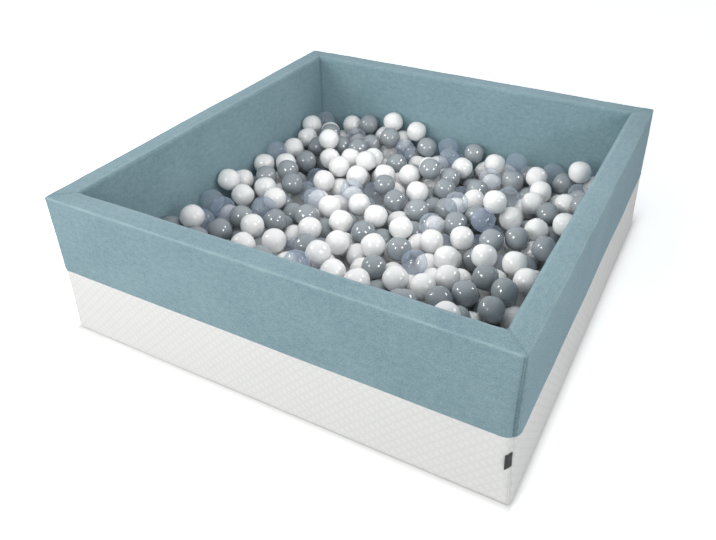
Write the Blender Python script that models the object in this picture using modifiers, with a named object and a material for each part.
"""A square foam ball pit: four padded walls in a sewn two-part cover, a floor pad and play balls.

Metres, +Z up. The origin is the middle of the underside. The front wall faces -Y and the
right wall +X. Depths are measured inwards from the outside of the cover.
"""

import math
import random

import bmesh
import bpy
from mathutils import Matrix, Vector
from mathutils.bvhtree import BVHTree

# Outside of the pit, over its cover
PIT_SIDE = 1.2
PIT_HEIGHT = 0.4
WALL = 0.058
HEM_HEIGHT = 0.186
EDGE_RADIUS = 0.011
LEDGE_CROWN = 0.002

# Upright outer corners, tight at the foot and the rim and fuller at half height. The cover is
# drawn in most at the corner between front and right, and less from there round to the left.
CORNER_TIGHT = 0.012
FRONT_RIGHT_FULLER = 0.022
RIGHT_BACK_FULLER = 0.01
BACK_LEFT_FULLER = 0.01
LEFT_FRONT_FULLER = 0.004
INNER_CORNER = 0.003

# Cloth of the cover, and the room that pieces keep where they touch
CLOTH = 0.003
LINING = 0.002
BASE_CLOTH = 0.002
GAP = 0.0003

# Loose pad on the floor of the pit
PAD_FOAM = 0.08
PAD_CLOTH = 0.0015
PAD_ROOM = 0.001
PAD_FALL = 0.01
PAD_DRAW = 0.004

# Blank woven tag in the seam of the near corner
TAG_LOW = 0.11
TAG_HEIGHT = 0.037
TAG_REACH = 0.015
TAG_DROOP = 0.008
TAG_THICKNESS = 0.0012

# Zip low on the back wall, through which the foam goes in and out, and how far it keeps from the corners
ZIP_INSET = 0.15
ZIP_HEIGHT = 0.034
SLIT = 0.0014
COIL_HEIGHT = 0.0028
COIL_SUNK = 0.0009
TAPE_HEIGHT = 0.013
TAPE = 0.0008
ZIP_ROOM = 0.0005
STOP_LENGTH = 0.003

# Slider and pull of the zip
SLIDER_LENGTH = 0.014
PLATE_HEIGHT = 0.007
PLATE_PROUD = 0.0016
OUTER_PLATE = 0.0018
INNER_PLATE = 0.0014
NECK_LENGTH = 0.004
NECK_THICKNESS = 0.0008
EAR_REACH = 0.003
EAR_THICKNESS = 0.0009
BAR_REACH = 0.0018
BAR_RADIUS = 0.0004
PULL_LENGTH = 0.022
PULL_THICKNESS = 0.0012
PULL_ROOM = 0.0003
PULL_RIM = 0.0005

# Play balls
BALL = 0.07
PRESSED = 0.0012
HEAP_RIGHT = 0.07
HEAP_BACK = 0.05
LOOSE_BALLS = 34
HEAP_SEED = 11

# Counts of facets
CORNER_STEPS = 3
EDGE_STEPS = 3
PAD_CELLS = 8
BALL_STEPS = 2
BALL_SIDES = 7
BALL_RINGS = 4
BAR_SIDES = 12
ROLL_DIRECTIONS = 10

# Where the levels of a wall's lower and upper half lie
LEVEL_SHARES = (0.0, 0.25, 0.5, 0.75, 1.0)
# How far the tag leans to the front, for its lean to the left
TAG_LEAN_SHARE = 0.66
# The profile of a round bevel
ROUND_SHARE = 0.5
# How sharply the floor pad falls at its edge
PAD_POWER = 12
# Joined balls over the floor layer, for each ball of that layer
UPPER_SHARE = 0.4
# Least height of a loose ball over the joined ones, of a ball's size
LOOSE_RISE_SHARE = 0.6
# How unevenly the joined layer grows, of a ball's size
SCATTER_SHARE = 0.2
# How far apart the places lie from which loose balls are let go, of a ball's size
DROP_SPACING_SHARE = 0.45

QUARTER_TURN = math.pi / 2
GOLDEN_ANGLE = math.pi * (3 - math.sqrt(5))
FOOT = BASE_CLOTH + GAP
RIM = PIT_HEIGHT - LEDGE_CROWN
HALF = PIT_SIDE / 2 - GAP / math.sqrt(2)
WALL_NAMES = ("front", "right", "back", "left")
CORNERS_FULLER = (FRONT_RIGHT_FULLER, RIGHT_BACK_FULLER, BACK_LEFT_FULLER, LEFT_FRONT_FULLER)


def clear_scene():
    """Removes what the scene holds."""
    for obj in list(bpy.data.objects):
        bpy.data.objects.remove(obj, do_unlink=True)


def new_collection(name):
    collection = bpy.data.collections.new(name)
    bpy.context.scene.collection.children.link(collection)
    return collection


def new_material(name, colour, roughness, metallic=0.0, alpha=1.0):
    material = bpy.data.materials.new(name)
    material.use_nodes = True
    shader = material.node_tree.nodes["Principled BSDF"]
    shader.inputs["Base Color"].default_value = (*colour, 1.0)
    shader.inputs["Roughness"].default_value = roughness
    shader.inputs["Metallic"].default_value = metallic
    shader.inputs["Alpha"].default_value = alpha
    material.diffuse_color = (*colour, alpha)
    return material


clear_scene()
PIT = new_collection("ball_pit")
CUTTERS = new_collection("cutters")

KNIT = new_material("knit cloth", (0.23, 0.37, 0.39), 0.9)
QUILT = new_material("quilted cloth", (0.78, 0.78, 0.76), 0.85)
LINER = new_material("base cloth", (0.62, 0.62, 0.6), 0.9)
FOAM = new_material("foam", (0.83, 0.8, 0.68), 0.95)
PAD_COVER = new_material("pad cloth", (0.55, 0.56, 0.56), 0.9)
ZIP_TAPE = new_material("zip tape", (0.75, 0.75, 0.74), 0.8)
ZIP_METAL = new_material("zip metal", (0.6, 0.6, 0.6), 0.35, metallic=1.0)
TAG = new_material("woven tag", (0.03, 0.03, 0.03), 0.8)
WHITE_BALL = new_material("white plastic", (0.86, 0.86, 0.86), 0.3)
GREY_BALL = new_material("grey plastic", (0.24, 0.26, 0.28), 0.3)
CLEAR_BALL = new_material("clear plastic", (0.6, 0.68, 0.78), 0.15, alpha=0.45)


def object_of(name, form, material, collection=PIT):
    """A named object that holds a bmesh and frees it."""
    mesh = bpy.data.meshes.new(name)
    form.to_mesh(mesh)
    form.free()
    mesh.materials.append(material)
    obj = bpy.data.objects.new(name, mesh)
    collection.objects.link(obj)
    return obj


def block_form(low, high):
    """A box between two corners."""
    low = Vector(low)
    high = Vector(high)
    size = high - low
    form = bmesh.new()
    place = Matrix.Translation((low + high) / 2) @ Matrix.Diagonal((*size, 1.0))
    bmesh.ops.create_cube(form, size=1.0, matrix=place)
    return form


def block(name, low, high, material, rounding=0.0):
    """A box between two corners, with its edges rounded."""
    form = block_form(low, high)
    if rounding:
        bmesh.ops.bevel(form, geom=form.edges[:], offset=rounding, segments=1, affect="EDGES", profile=ROUND_SHARE)
    return object_of(name, form, material)


def round_form(radius, length, centre):
    """An upright round bar."""
    form = bmesh.new()
    bmesh.ops.create_cone(
        form,
        cap_ends=True,
        segments=BAR_SIDES,
        radius1=radius,
        radius2=radius,
        depth=length,
        matrix=Matrix.Translation(centre),
    )
    return form


def as_cutter(name, form):
    """A helper shape that is cut from another or joined to it, and isn't drawn."""
    cutter = object_of(name, form, FOAM, CUTTERS)
    cutter.hide_render = True
    cutter.display_type = "WIRE"
    return cutter


def combine(obj, helper, operation):
    modifier = obj.modifiers.new(helper.name, "BOOLEAN")
    modifier.operation = operation
    modifier.solver = "EXACT"
    modifier.object = helper


# Walls


def corner_radius(height, corner):
    """Radius of an upright outer corner at this height. Corner 0 ends the front wall, and so on round."""
    return CORNER_TIGHT + CORNERS_FULLER[corner] * math.sin(math.pi * height / PIT_HEIGHT)


def wall_stations():
    """Stops along the front wall, from its left mitre to its right one: the side, and the turn round it."""
    turns = [math.pi / 4 * step / CORNER_STEPS for step in range(CORNER_STEPS + 1)]
    return [(-1, turn) for turn in reversed(turns)] + [(1, turn) for turn in turns]


def wall_point(depth, height, side, turn, corner):
    """A point of the front wall, at this depth under the outer face, if this is the corner at that side."""
    radius = max(corner_radius(height, corner) - depth, INNER_CORNER)
    centre = HALF - depth - radius
    return side * (centre + radius * math.sin(turn)), -centre - radius * math.cos(turn), height


def wall_form(outline, index):
    """One layer of a wall: its closed outline of depths and heights, lofted from mitre to mitre.

    The corner's radius changes with height and depth, so the sections are unlike. All walls are
    made as the front one and turned later.
    """
    form = bmesh.new()
    rings = []
    for side, turn in wall_stations():
        corner = index if side > 0 else index - 1
        rings.append([form.verts.new(wall_point(depth, height, side, turn, corner)) for depth, height in outline])
    for ring, following in zip(rings, rings[1:]):
        for index in range(len(outline)):
            before = index - 1
            form.faces.new((ring[before], ring[index], following[index], following[before]))
    form.faces.new(rings[0])
    form.faces.new(reversed(rings[-1]))
    bmesh.ops.recalc_face_normals(form, faces=form.faces)
    return form


def levels(low, high):
    return [low + (high - low) * share for share in LEVEL_SHARES]


def over_wall(side, top, inner, heights):
    """Open outline of a layer: up the outside, over the crowned ledge and down the inside.

    side, top and inner are the layer's depths there.
    """
    points = [(side, height) for height in heights]
    shoulder = RIM - EDGE_RADIUS
    for step in range(1, EDGE_STEPS + 1):
        turn = QUARTER_TURN * step / EDGE_STEPS
        depth = EDGE_RADIUS - (EDGE_RADIUS - side) * math.cos(turn)
        points.append((depth, shoulder + (EDGE_RADIUS - top) * math.sin(turn)))
    points.append((WALL / 2, PIT_HEIGHT - top))
    for step in range(EDGE_STEPS, -1, -1):
        turn = QUARTER_TURN * step / EDGE_STEPS
        depth = WALL - EDGE_RADIUS + (EDGE_RADIUS - inner) * math.cos(turn)
        points.append((depth, shoulder + (EDGE_RADIUS - top) * math.sin(turn)))
    points.append((WALL - inner, FOOT))
    return points


def place_wall(prefix, form, index, material):
    """The layer turned to its wall and moved out by half of a mitre's seam."""
    obj = object_of(f"{prefix}_{WALL_NAMES[index]}", form, material)
    turn = Matrix.Rotation(QUARTER_TURN * index, 4, "Z")
    obj.location = turn @ Vector((0, -GAP / math.sqrt(2), 0))
    obj.rotation_euler.z = QUARTER_TURN * index
    return obj


def make_foam_walls():
    """Four slabs of foam, cut at a mitre and glued into a square."""
    heights = levels(FOOT, HEM_HEIGHT) + levels(HEM_HEIGHT, RIM - EDGE_RADIUS)[1:]
    outline = over_wall(CLOTH + LINING + GAP, CLOTH + GAP, CLOTH + GAP, heights)
    return [place_wall("foam_wall", wall_form(outline, index), index, FOAM) for index in range(len(WALL_NAMES))]


def make_wall_covers():
    """The upper cover: a panel over each wall, sewn to the next along the mitre and the upright corners."""
    heights = levels(HEM_HEIGHT, RIM - EDGE_RADIUS)
    outside = over_wall(0, 0, 0, heights)
    inside = over_wall(CLOTH + LINING, CLOTH, CLOTH, heights)
    outline = outside + inside[::-1]
    return [place_wall("wall_cover", wall_form(outline, index), index, KNIT) for index in range(len(WALL_NAMES))]


def make_skirts():
    """The quilted lower cover, a band along each wall from the hem to the floor."""
    heights = levels(FOOT, HEM_HEIGHT - GAP)
    outside = [(LINING, height) for height in heights]
    inside = [(LINING + CLOTH, height) for height in reversed(heights)]
    outline = outside + inside
    return [place_wall("skirt", wall_form(outline, index), index, QUILT) for index in range(len(WALL_NAMES))]


def make_base_cloth():
    """The flat cloth under the pit, on which it stands."""
    reach = PIT_SIDE / 2 - LINING
    form = block_form((-reach, -reach, 0), (reach, reach, BASE_CLOTH))
    upright = [edge for edge in form.edges if abs(edge.verts[0].co.z - edge.verts[1].co.z) > BASE_CLOTH / 2]
    bmesh.ops.bevel(
        form,
        geom=upright,
        offset=CORNER_TIGHT - LINING,
        segments=2 * CORNER_STEPS,
        affect="EDGES",
        profile=ROUND_SHARE,
    )
    return object_of("base_cloth", form, LINER)


# Floor pad


def pad_surface(depth):
    """The crowned top of the floor pad and its drawn-in sides, open below, at this depth under its cloth."""
    half = PIT_SIDE / 2 - WALL - PAD_ROOM - depth
    bottom = FOOT + PAD_CLOTH + GAP
    form = bmesh.new()
    bmesh.ops.create_grid(form, x_segments=PAD_CELLS, y_segments=PAD_CELLS, size=half)
    for vert in form.verts:
        across = vert.co.x / half
        along = vert.co.y / half
        vert.co.x -= PAD_DRAW * across**3 * (1 - along**2)
        vert.co.y -= PAD_DRAW * along**3 * (1 - across**2)
        vert.co.z = PAD_TOP - depth - PAD_FALL * max(abs(across), abs(along)) ** PAD_POWER
    rim = [edge for edge in form.edges if edge.is_boundary]
    skirt = bmesh.ops.extrude_edge_only(form, edges=rim)["geom"]
    for vert in skirt:
        if isinstance(vert, bmesh.types.BMVert):
            vert.co.z = bottom
    bmesh.ops.recalc_face_normals(form, faces=form.faces)
    return form


PAD_TOP = FOOT + PAD_CLOTH + GAP + PAD_FOAM + GAP + PAD_CLOTH


def make_floor_pad():
    """A foam pad in a cloth case: a crowned top with its borders, and a sheet underneath."""
    case = object_of("floor_pad_cover", pad_surface(0), PAD_COVER)
    wall = case.modifiers.new("cloth", "SOLIDIFY")
    wall.thickness = PAD_CLOTH
    wall.offset = -1
    wall.use_even_offset = True

    form = pad_surface(PAD_CLOTH + GAP)
    bmesh.ops.holes_fill(form, edges=[edge for edge in form.edges if edge.is_boundary])
    bmesh.ops.recalc_face_normals(form, faces=form.faces)
    foam = object_of("floor_pad_foam", form, FOAM)

    reach = PIT_SIDE / 2 - WALL - PAD_ROOM - PAD_DRAW
    sheet = block("floor_pad_underside", (-reach, -reach, FOOT), (reach, reach, FOOT + PAD_CLOTH), PAD_COVER)
    return [case, foam, sheet]


# Tag


def seam_point(depth, height):
    """A point of the seam between the front and right walls."""
    radius = corner_radius(height, 0) - depth
    across = HALF - depth - radius + radius / math.sqrt(2)
    return Vector((across, -across, height))


def make_tag():
    """A blank folded tag whose root lies along the seam and whose free end leans to the front and droops."""
    outward = Vector((1, -1, 0)).normalized()
    lean = Vector((-1, -TAG_LEAN_SHARE, 0)).normalized()
    half = lean.cross(Vector((0, 0, 1))) * TAG_THICKNESS / 2
    roots = [seam_point(LINING, height) for height in (TAG_LOW, TAG_LOW + TAG_HEIGHT)]
    form = bmesh.new()
    rings = []
    for share in (0, 0.5, 1):
        out = outward * (TAG_THICKNESS + GAP + TAG_THICKNESS * math.sin(math.pi * share))
        shift = out + lean * TAG_REACH * share - Vector((0, 0, TAG_DROOP * share))
        low, high = (root + shift for root in roots)
        rings.append([form.verts.new(corner) for corner in (low - half, low + half, high + half, high - half)])
    for ring, following in zip(rings, rings[1:]):
        for index in range(len(ring)):
            before = index - 1
            form.faces.new((ring[before], ring[index], following[index], following[before]))
    form.faces.new(rings[0])
    form.faces.new(reversed(rings[-1]))
    bmesh.ops.recalc_face_normals(form, faces=form.faces)
    return object_of("seam_tag", form, TAG)


# Zip


def back_face(depth):
    """The Y of a plane of the back wall, at this depth."""
    return PIT_SIDE / 2 - depth


COIL_FRONT = LINING + COIL_SUNK
COIL_BACK = LINING + CLOTH
TAPE_FRONT = LINING + CLOTH + GAP
TAPE_BACK = TAPE_FRONT + TAPE
COIL_EDGE = SLIT / 2 + COIL_HEIGHT
TAPE_EDGE = SLIT / 2 + TAPE_HEIGHT
ZIP_END = PIT_SIDE / 2 - ZIP_INSET


def zip_block(low, high, depths):
    """Corners of a box in the zip, from X and height over the zip's line and the depths of its faces."""
    return (
        (low[0], back_face(depths[1]), ZIP_HEIGHT + low[1]),
        (high[0], back_face(depths[0]), ZIP_HEIGHT + high[1]),
    )


def cut_zip_opening(skirt, foam_wall):
    """The slot in the back skirt, and the groove behind it where the foam gives way to the tapes and slider."""
    slot_end = ZIP_END + STOP_LENGTH + ZIP_ROOM
    slot_edge = COIL_EDGE + ZIP_ROOM
    slot = zip_block((-slot_end, -slot_edge), (slot_end, slot_edge), (0, WALL / 2))
    combine(skirt, as_cutter("zip_slot", block_form(*slot)), "DIFFERENCE")
    groove_end = slot_end + TAPE_HEIGHT + ZIP_ROOM
    groove_edge = TAPE_EDGE + ZIP_ROOM
    bottom = TAPE_BACK + ZIP_ROOM + INNER_PLATE + ZIP_ROOM
    groove = zip_block((-groove_end, -groove_edge), (groove_end, groove_edge), (0, bottom))
    combine(foam_wall, as_cutter("zip_groove", block_form(*groove)), "DIFFERENCE")


def make_zip_chain():
    """Two tapes and two coils, with the slit between them that the slider's neck runs in, and a stop at each end."""
    pieces = []
    tape_end = ZIP_END + STOP_LENGTH + TAPE_HEIGHT
    for name, side in (("upper", 1), ("lower", -1)):
        for part, end, edge, depths, material in (
            ("zip_tape", tape_end, TAPE_EDGE, (TAPE_FRONT, TAPE_BACK), ZIP_TAPE),
            ("zip_coil", ZIP_END, COIL_EDGE, (COIL_FRONT, COIL_BACK), ZIP_TAPE),
        ):
            heights = sorted((side * SLIT / 2, side * edge))
            corners = zip_block((-end, heights[0]), (end, heights[1]), depths)
            pieces.append(block(f"{part}_{name}", *corners, material))
    for name, start in (("closed", ZIP_END + GAP), ("open", -ZIP_END - GAP - STOP_LENGTH)):
        corners = zip_block((start, -COIL_EDGE), (start + STOP_LENGTH, COIL_EDGE), (COIL_FRONT, COIL_BACK))
        pieces.append(block(f"zip_stop_{name}", *corners, ZIP_METAL, rounding=GAP))
    return pieces


def make_zip_slider():
    """The slider at the closed end: plates before and behind the chain, a neck in the slit, ears and a bar."""
    right = ZIP_END - ZIP_ROOM
    left = right - SLIDER_LENGTH
    plate_front = LINING - PLATE_PROUD
    plate_back = plate_front + OUTER_PLATE
    edge = PLATE_HEIGHT / 2
    outer = zip_block((left, -edge), (right, edge), (plate_front, plate_back))
    slider = block("zip_slider", *outer, ZIP_METAL, rounding=GAP)

    inner_front = TAPE_BACK + ZIP_ROOM
    inner = zip_block((left, -edge), (right, edge), (inner_front, inner_front + INNER_PLATE))
    middle = (left + right) / 2
    neck_low = (middle - NECK_LENGTH / 2, -NECK_THICKNESS / 2)
    neck_high = (middle + NECK_LENGTH / 2, NECK_THICKNESS / 2)
    neck = zip_block(neck_low, neck_high, (plate_back - GAP, inner_front + GAP))
    combine(slider, as_cutter("slider_neck", block_form(*neck)), "UNION")
    combine(slider, as_cutter("slider_inner_plate", block_form(*inner)), "UNION")

    depth = BAR_RADIUS + PULL_ROOM + PULL_RIM
    ear_depths = (depth - EAR_THICKNESS / 2, depth + EAR_THICKNESS / 2)
    for name, low in (("upper", edge - EAR_THICKNESS - GAP), ("lower", GAP - edge)):
        ear = zip_block((left - EAR_REACH, low), (left + GAP, low + EAR_THICKNESS), ear_depths)
        combine(slider, as_cutter(f"slider_ear_{name}", block_form(*ear)), "UNION")
    centre = Vector((left - BAR_REACH, back_face(depth), ZIP_HEIGHT))
    bar = round_form(BAR_RADIUS, PLATE_HEIGHT - 2 * GAP - EAR_THICKNESS, centre)
    combine(slider, as_cutter("slider_bar", bar), "UNION")
    return slider, centre


def make_zip_pull(bar):
    """The pull, a plate with a rolled knuckle round the slider's bar, lying flat along the chain."""
    height = PLATE_HEIGHT - 2 * (EAR_THICKNESS + GAP + PULL_ROOM)
    bore = BAR_RADIUS + PULL_ROOM
    plate = block_form(
        (-PULL_LENGTH, -PULL_THICKNESS / 2, -height / 2), (-bore - PULL_RIM / 2, PULL_THICKNESS / 2, height / 2)
    )
    pull = object_of("zip_pull", round_form(bore + PULL_RIM, height, (0, 0, 0)), ZIP_METAL)
    for helper, operation in (
        (as_cutter("pull_plate", plate), "UNION"),
        (as_cutter("pull_bore", round_form(bore, 2 * height, (0, 0, 0))), "DIFFERENCE"),
    ):
        helper.location = bar
        combine(pull, helper, operation)
    pull.location = bar
    return pull


# Balls


def lean_turns(generation):
    """The directions round a joined ball in which its facets have a corner."""
    start = math.pi * (generation % 2)
    return [start + 2 * math.pi * side / BALL_SIDES for side in range(BALL_SIDES)]


def leaned(ball, turn, rise):
    """A ball pressed against this one, in a direction round it and at an angle up it, with its generation."""
    x, y, z, generation = ball
    away = (BALL - PRESSED) * math.cos(rise)
    up = (BALL - PRESSED) * math.sin(rise)
    return x + away * math.cos(turn), y + away * math.sin(turn), z + up, generation + 1


def is_inside(ball):
    """Whether a ball here stays off the walls."""
    return max(abs(ball[0]), abs(ball[1])) < PIT_SIDE / 2 - WALL - BALL / 2 - GAP


def is_clear(ball, others):
    """Whether a ball here stays off all of these."""
    return all(math.dist(ball[:3], other[:3]) > BALL + GAP for other in others)


def floor_layer():
    """Centres of the joined balls that fill the pad, with how many leans each lies from the first.

    The layer grows as a square round the first ball, which lies towards the right rear corner.
    Each ball leans on an earlier one where the corners of both balls' facets meet, and keeps
    clear of all others.
    """
    draws = random.Random(HEAP_SEED)
    placed = [(HEAP_RIGHT, HEAP_BACK, PAD_TOP + GAP + BALL / 2, 0)]
    hollows = []
    for newest in placed:
        hollows = [hollow for hollow in hollows if is_clear(hollow[1], [newest])]
        for turn in lean_turns(newest[3]):
            ball = leaned(newest, turn, 0)
            if is_inside(ball) and is_clear(ball, placed[:-1]):
                away = max(abs(ball[0] - HEAP_RIGHT), abs(ball[1] - HEAP_BACK))
                hollows.append((away + BALL * draws.random() * SCATTER_SHARE, ball))
        if hollows:
            nearest = min(hollows)
            hollows.remove(nearest)
            placed.append(nearest[1])
    return placed


def upper_layer(floor, loose):
    """Centres of the joined balls over the floor layer, in the hollows that the loose ones leave.

    Each leans on one ball below at a corner of its upper ring. Those whose next two neighbours
    below lie closest come first.
    """
    hollows = []
    for ball in floor:
        others = [other for other in floor if other is not ball]
        for turn in lean_turns(ball[3]):
            upper = leaned(ball, turn, math.pi / BALL_RINGS)
            if is_inside(upper) and is_clear(upper, others):
                second, third = sorted(math.dist(upper[:3], other[:3]) for other in others)[:2]
                hollows.append((second + third, upper))
    placed = []
    for _, upper in sorted(hollows):
        beside_loose = all(math.dist(upper[:2], other[:2]) > BALL + GAP for other in loose)
        if len(placed) < UPPER_SHARE * len(floor) and beside_loose and is_clear(upper, placed):
            placed.append(upper)
    return placed


def joined_form(balls):
    """Faceted balls of full diameter in rings, each turned so that its corners face those that it leans on."""
    form = bmesh.new()
    for x, y, z, generation in balls:
        turn = Matrix.Rotation(lean_turns(generation)[0] - math.pi / 2, 4, "Z")
        bmesh.ops.create_uvsphere(
            form,
            u_segments=BALL_SIDES,
            v_segments=BALL_RINGS,
            radius=BALL / 2,
            matrix=Matrix.Translation((x, y, z)) @ turn,
        )
    return form


def loose_form(centre):
    """A rounder faceted ball, with a corner at each pole."""
    form = bmesh.new()
    bmesh.ops.create_icosphere(form, subdivisions=BALL_STEPS, radius=BALL / 2, matrix=Matrix.Translation(centre))
    return form


def make_ball_bed(balls):
    """The joined balls of the heap as one piece, with one union.

    A ball only leans on one of the other parity, so the even and the odd ones are each clear
    of their own kind.
    """
    even, odd = [[ball for ball in balls if ball[3] % 2 == kind] for kind in (0, 1)]
    bed = object_of("ball_bed", joined_form(even), WHITE_BALL)
    combine(bed, as_cutter("ball_bed_odd", joined_form(odd)), "UNION")
    return bed


def rest_height(x, y, below, loose):
    """Height of the centre of a ball that is let down here until it touches a ball below it."""
    if any(math.hypot(x - other[0], y - other[1]) < BALL + GAP for other in loose):
        return math.inf
    highest = -math.inf
    for other in below:
        away = math.hypot(x - other[0], y - other[1])
        if away < BALL:
            highest = max(highest, other[2] + math.sqrt(BALL**2 - away**2))
    return highest


def rolled_down(x, y, below, loose):
    """Where a ball let go here comes to rest, found by ever smaller steps downhill."""
    step = BALL / 4
    height = rest_height(x, y, below, loose)
    while step > GAP:
        options = []
        for direction in range(ROLL_DIRECTIONS):
            turn = 2 * math.pi * direction / ROLL_DIRECTIONS
            near = (x + step * math.cos(turn), y + step * math.sin(turn))
            options.append((rest_height(*near, below, loose), *near))
        best = min(options)
        if best[0] < height:
            height, x, y = best
        else:
            step /= 2
    return x, y, height


def loose_places(below):
    """Hollows of the joined layer that take a ball, from the middle of the heap outwards."""
    floor = below[0][2]
    found = []
    for drop in range(len(below) * ROLL_DIRECTIONS):
        away = DROP_SPACING_SHARE * BALL * math.sqrt(drop)
        start_x = HEAP_RIGHT + away * math.cos(GOLDEN_ANGLE * drop)
        start_y = HEAP_BACK + away * math.sin(GOLDEN_ANGLE * drop)
        x, y, height = rolled_down(start_x, start_y, below, found)
        if LOOSE_RISE_SHARE * BALL < height - floor < BALL:
            found.append((x, y, height))
        if len(found) == LOOSE_BALLS:
            break
    return found


def lowered_on(tree, x, y, height):
    """The height at which a faceted ball just clears the faceted ones below, a little under the round one's."""
    touching = height - BALL / 4
    clear = height + GAP
    while clear - touching > GAP / 4:
        middle = (clear + touching) / 2
        form = loose_form((x, y, middle))
        ball = BVHTree.FromBMesh(form)
        form.free()
        if tree.overlap(ball):
            touching = middle
        else:
            clear = middle
    return clear + 2 * GAP


def loose_centres(floor):
    """Centres of the balls that lie free in the hollows of the floor layer and lift straight out."""
    form = joined_form(floor)
    tree = BVHTree.FromBMesh(form)
    form.free()
    return [(x, y, lowered_on(tree, x, y, height)) for x, y, height in loose_places(floor)]


def make_loose_balls(centres):
    colours = (WHITE_BALL, GREY_BALL, WHITE_BALL, CLEAR_BALL, GREY_BALL, WHITE_BALL, WHITE_BALL)
    balls = []
    for number, centre in enumerate(centres, start=1):
        ball = object_of(f"loose_ball_{number:02d}", loose_form((0, 0, 0)), colours[number % len(colours)])
        ball.location = centre
        balls.append(ball)
    return balls


def main():
    foam_walls = make_foam_walls()
    wall_covers = make_wall_covers()
    skirts = make_skirts()
    base = make_base_cloth()
    back = WALL_NAMES.index("back")
    cut_zip_opening(skirts[back], foam_walls[back])
    pad = make_floor_pad()
    tag = make_tag()
    chain = make_zip_chain()
    slider, bar = make_zip_slider()
    pull = make_zip_pull(bar)
    floor = floor_layer()
    free = loose_centres(floor)
    upper = upper_layer(floor, free)
    bed = make_ball_bed(floor + upper)
    loose = make_loose_balls(free)
    for obj in [*foam_walls, *wall_covers, *skirts, base, *pad, tag, *chain, slider, pull, bed, *loose]:
        obj.data.shade_smooth()
        obj.data.set_sharp_from_angle(angle=math.pi / 5)
    heights = [ball.location.z for ball in loose]
    print(f"{len(floor)} joined balls on the pad, {len(upper)} over them and {len(loose)} loose ones")
    print(f"the loose ones' centres are {min(heights):.4f} to {max(heights):.4f} m up, the upper ones' {upper[0][2]:.4f} m")
    print(f"the pad's top is at {PAD_TOP:.4f} m, and the pull's bar at {bar.x:.5f}, {bar.y:.5f}, {bar.z:.5f} m")


main()
